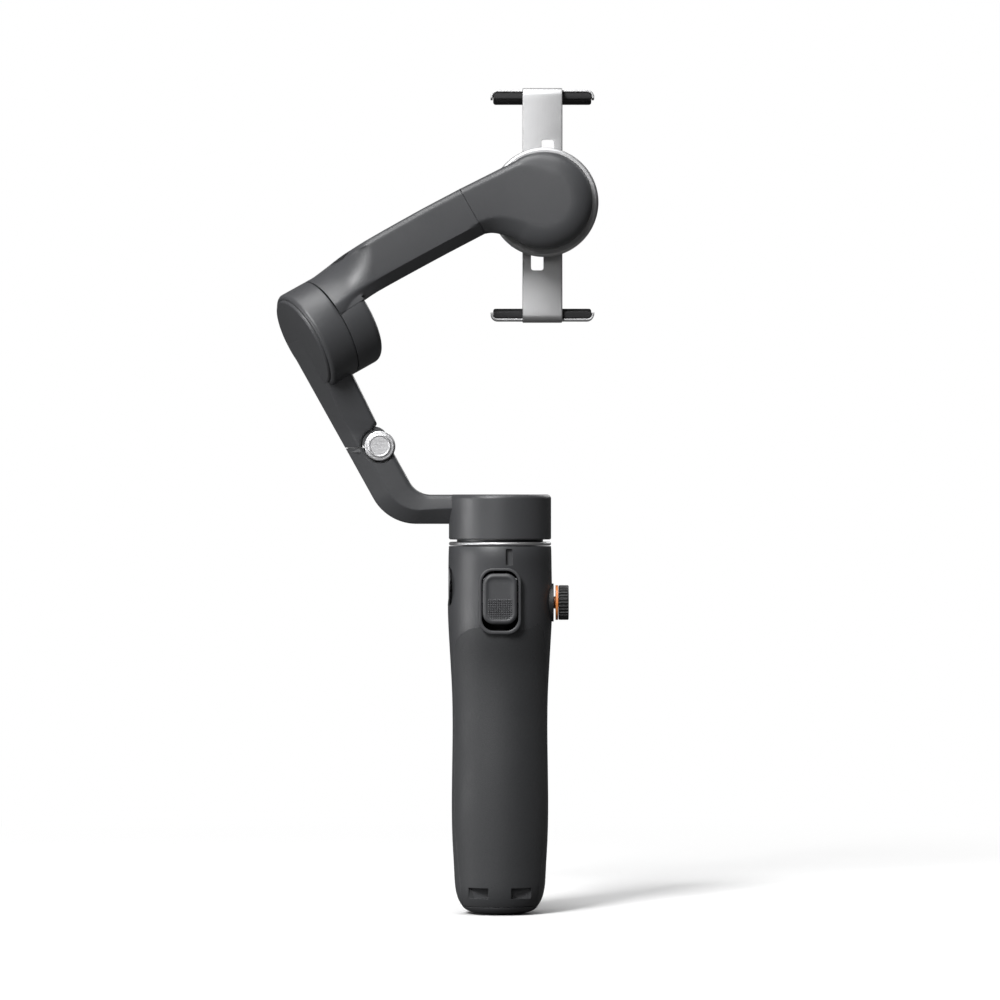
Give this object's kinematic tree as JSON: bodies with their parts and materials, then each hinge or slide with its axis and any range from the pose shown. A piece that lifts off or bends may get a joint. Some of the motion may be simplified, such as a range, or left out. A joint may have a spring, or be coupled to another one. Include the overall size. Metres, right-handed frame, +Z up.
{
  "type": "phone gimbal",
  "caption": "Handheld phone gimbal with a folding arm, pan, tilt and roll motors, a telescopic rod in its grip and a spring phone clamp on a magnetic plate.",
  "frame": {"origin": "mouth of the tripod socket in the bottom of the handle, on the pan axis", "axes": "+Z up along the handle, -Y is the trigger side, +Y is the thumb controls and phone screen side"},
  "size_m": [0.1171, 0.0573, 0.2985],
  "materials": {
    "matte_dark": "fine matt moulded surface",
    "arm_paint": "satin dark grey coat",
    "grip_soft": "soft-touch matt",
    "black_plastic": "satin black",
    "gloss_black": "polished black",
    "silver_metal": "satin anodised",
    "clamp_metal": "fine satin",
    "steel": "turned",
    "brass": "turned",
    "copper_core": "enamelled copper on steel core",
    "magnet": "nickel plated",
    "pad_rubber": "ribbed soft rubber",
    "orange_accent": "satin orange",
    "red_accent": "satin red",
    "board_green": "solder mask",
    "battery_wrap": "shrink wrap"
  },
  "bodies": {
    "handle": {"front_shell": "matte_dark", "rear_shell": "matte_dark", "front_grip": "grip_soft", "bottom_cap": "matte_dark", "tripod_insert": "brass", "handle_screws": "steel", "battery": "battery_wrap", "main_board": "board_green", "control_panel": "gloss_black", "status_lens": "gloss_black", "usb_c_socket": "steel", "rod_guide_tube": "black_plastic", "top_plate": "black_plastic", "collar_ring": "silver_metal", "trigger_frame": "matte_dark", "trigger_pin": "steel", "wheel_mount": "black_plastic"},
    "rod_1": {"rod_tube_large": "silver_metal"},
    "rod_2": {"rod_tube_middle": "silver_metal"},
    "rod_3": {"rod_tube_small": "silver_metal", "knuckle_pin": "steel"},
    "head_base": {"head_base": "arm_paint", "pan_stator": "copper_core", "pan_bearing": "steel"},
    "pan_arm": {"pan_motor_housing": "arm_paint", "pan_magnets": "magnet", "pan_shaft": "steel", "lower_arm": "arm_paint", "fold_hinge_pin": "silver_metal"},
    "fold_link": {"arm_link": "arm_paint", "link_cover": "arm_paint", "tilt_stator": "copper_core", "tilt_bearing": "steel"},
    "tilt_arm": {"upper_arm": "arm_paint", "tilt_magnets": "magnet", "tilt_shaft": "steel", "roll_motor_cover": "arm_paint", "roll_stator": "copper_core", "roll_bearing": "steel"},
    "roll_rotor": {"roll_rotor": "arm_paint", "roll_magnets": "magnet", "roll_shaft": "steel", "mount_magnets": "magnet"},
    "clamp": {"clamp_base": "clamp_metal", "clamp_cover": "black_plastic", "clamp_spring": "steel"},
    "upper_jaw": {"upper_clamp_arm": "clamp_metal", "upper_jaw_pad": "pad_rubber"},
    "lower_jaw": {"lower_clamp_arm": "clamp_metal", "lower_jaw_pad": "pad_rubber"},
    "clamp_gear": {"clamp_pinion": "steel"},
    "trigger": {"trigger": "matte_dark"},
    "stick_yoke": {"joystick_yoke": "black_plastic"},
    "stick_cap": {"joystick_cap": "black_plastic"},
    "record_button": {"record_button": "red_accent"},
    "mode_button": {"mode_button": "black_plastic"},
    "power_button": {"power_button": "matte_dark"},
    "wheel_press": {"wheel_hub": "orange_accent"},
    "wheel": {"side_wheel": "black_plastic"}
  },
  "joints": [
    {"name": "rod_extend", "type": "slide", "parent": "handle", "child": "rod_1", "axis": [0, 0, 1], "range_m": [0, 0.072]},
    {"name": "rod_middle", "type": "slide", "parent": "rod_1", "child": "rod_2", "axis": [0, 0, 1], "range_m": [0, 0.072]},
    {"name": "rod_inner", "type": "slide", "parent": "rod_2", "child": "rod_3", "axis": [0, 0, 1], "range_m": [0, 0.072]},
    {"name": "head_tilt", "type": "hinge", "parent": "rod_3", "child": "head_base", "pos_m": [0, 0, 0.124], "axis": [-1, 0, 0], "range_deg": [0, 90]},
    {"name": "pan", "type": "hinge", "parent": "head_base", "child": "pan_arm", "pos_m": [0, 0, 0.142], "axis": [0, 0, 1], "range_deg": [-161.2, 173.79]},
    {"name": "fold", "type": "hinge", "parent": "pan_arm", "child": "fold_link", "pos_m": [-0.0432, 0, 0.1683], "axis": [0, 1, 0], "range_deg": [0, 55]},
    {"name": "tilt", "type": "hinge", "parent": "fold_link", "child": "tilt_arm", "pos_m": [-0.0611, -0.0076, 0.2106], "axis": [0.8213, 0.3173, 0.4742], "range_deg": [-101.64, 78.55]},
    {"name": "roll", "type": "hinge", "parent": "tilt_arm", "child": "roll_rotor", "pos_m": [0.0159, 0, 0.2565], "axis": [0, 1, 0], "range_deg": [-120.3, 211.97]},
    {"name": "clamp_release", "type": "slide", "parent": "roll_rotor", "child": "clamp", "axis": [0, 1, 0], "range_m": [0, 0.03]},
    {"name": "jaw_upper", "type": "slide", "parent": "clamp", "child": "upper_jaw", "axis": [0, 0, 1], "range_m": [-0.0053, 0.0032]},
    {"name": "jaw_lower", "type": "slide", "parent": "clamp", "child": "lower_jaw", "axis": [0, 0, -1], "range_m": [-0.0053, 0.0032]},
    {"name": "clamp_gear_turn", "type": "hinge", "parent": "clamp", "child": "clamp_gear", "pos_m": [0.0154, 0, 0.2559], "axis": [0, 1, 0], "range_deg": [-70, 110]},
    {"name": "trigger_pull", "type": "hinge", "parent": "handle", "child": "trigger", "pos_m": [0, -0.0152, 0.1206], "axis": [1, 0, 0], "range_deg": [0, 6], "stiffness_Nm_per_rad": 0.15, "springref_deg": -6.88},
    {"name": "stick_tilt", "type": "hinge", "parent": "handle", "child": "stick_yoke", "pos_m": [0, 0.0146, 0.099], "axis": [1, 0, 0], "range_deg": [-12, 12], "stiffness_Nm_per_rad": 0.03},
    {"name": "stick_swing", "type": "hinge", "parent": "stick_yoke", "child": "stick_cap", "pos_m": [0, 0.0146, 0.099], "axis": [0, 0, 1], "range_deg": [-12, 12], "stiffness_Nm_per_rad": 0.03},
    {"name": "record_press", "type": "slide", "parent": "handle", "child": "record_button", "axis": [0, -1, 0], "range_m": [0, 0.0005], "stiffness_N_per_m": 400, "springref_m": -0.0008},
    {"name": "mode_press", "type": "slide", "parent": "handle", "child": "mode_button", "axis": [0, -1, 0], "range_m": [0, 0.0005], "stiffness_N_per_m": 400, "springref_m": -0.0008},
    {"name": "power_press", "type": "slide", "parent": "handle", "child": "power_button", "axis": [1, 0, 0], "range_m": [0, 0.0004], "stiffness_N_per_m": 400, "springref_m": -0.0008},
    {"name": "wheel_press", "type": "slide", "parent": "handle", "child": "wheel_press", "axis": [-1, 0, 0], "range_m": [0, 0.0005], "stiffness_N_per_m": 400, "springref_m": -0.0008},
    {"name": "wheel_turn", "type": "hinge", "parent": "wheel_press", "child": "wheel", "pos_m": [0.022, 0, 0.112], "axis": [1, 0, 0], "continuous": true}
  ],
  "couplings": [
    {"joint": "rod_middle", "follows": "rod_extend", "ratio": 1},
    {"joint": "rod_inner", "follows": "rod_extend", "ratio": 1},
    {"joint": "head_tilt", "follows": "rod_extend", "rad_per_m": 21.816},
    {"joint": "jaw_lower", "follows": "jaw_upper", "ratio": 1},
    {"joint": "clamp_gear_turn", "follows": "jaw_upper", "rad_per_m": -333.33}
  ]
}
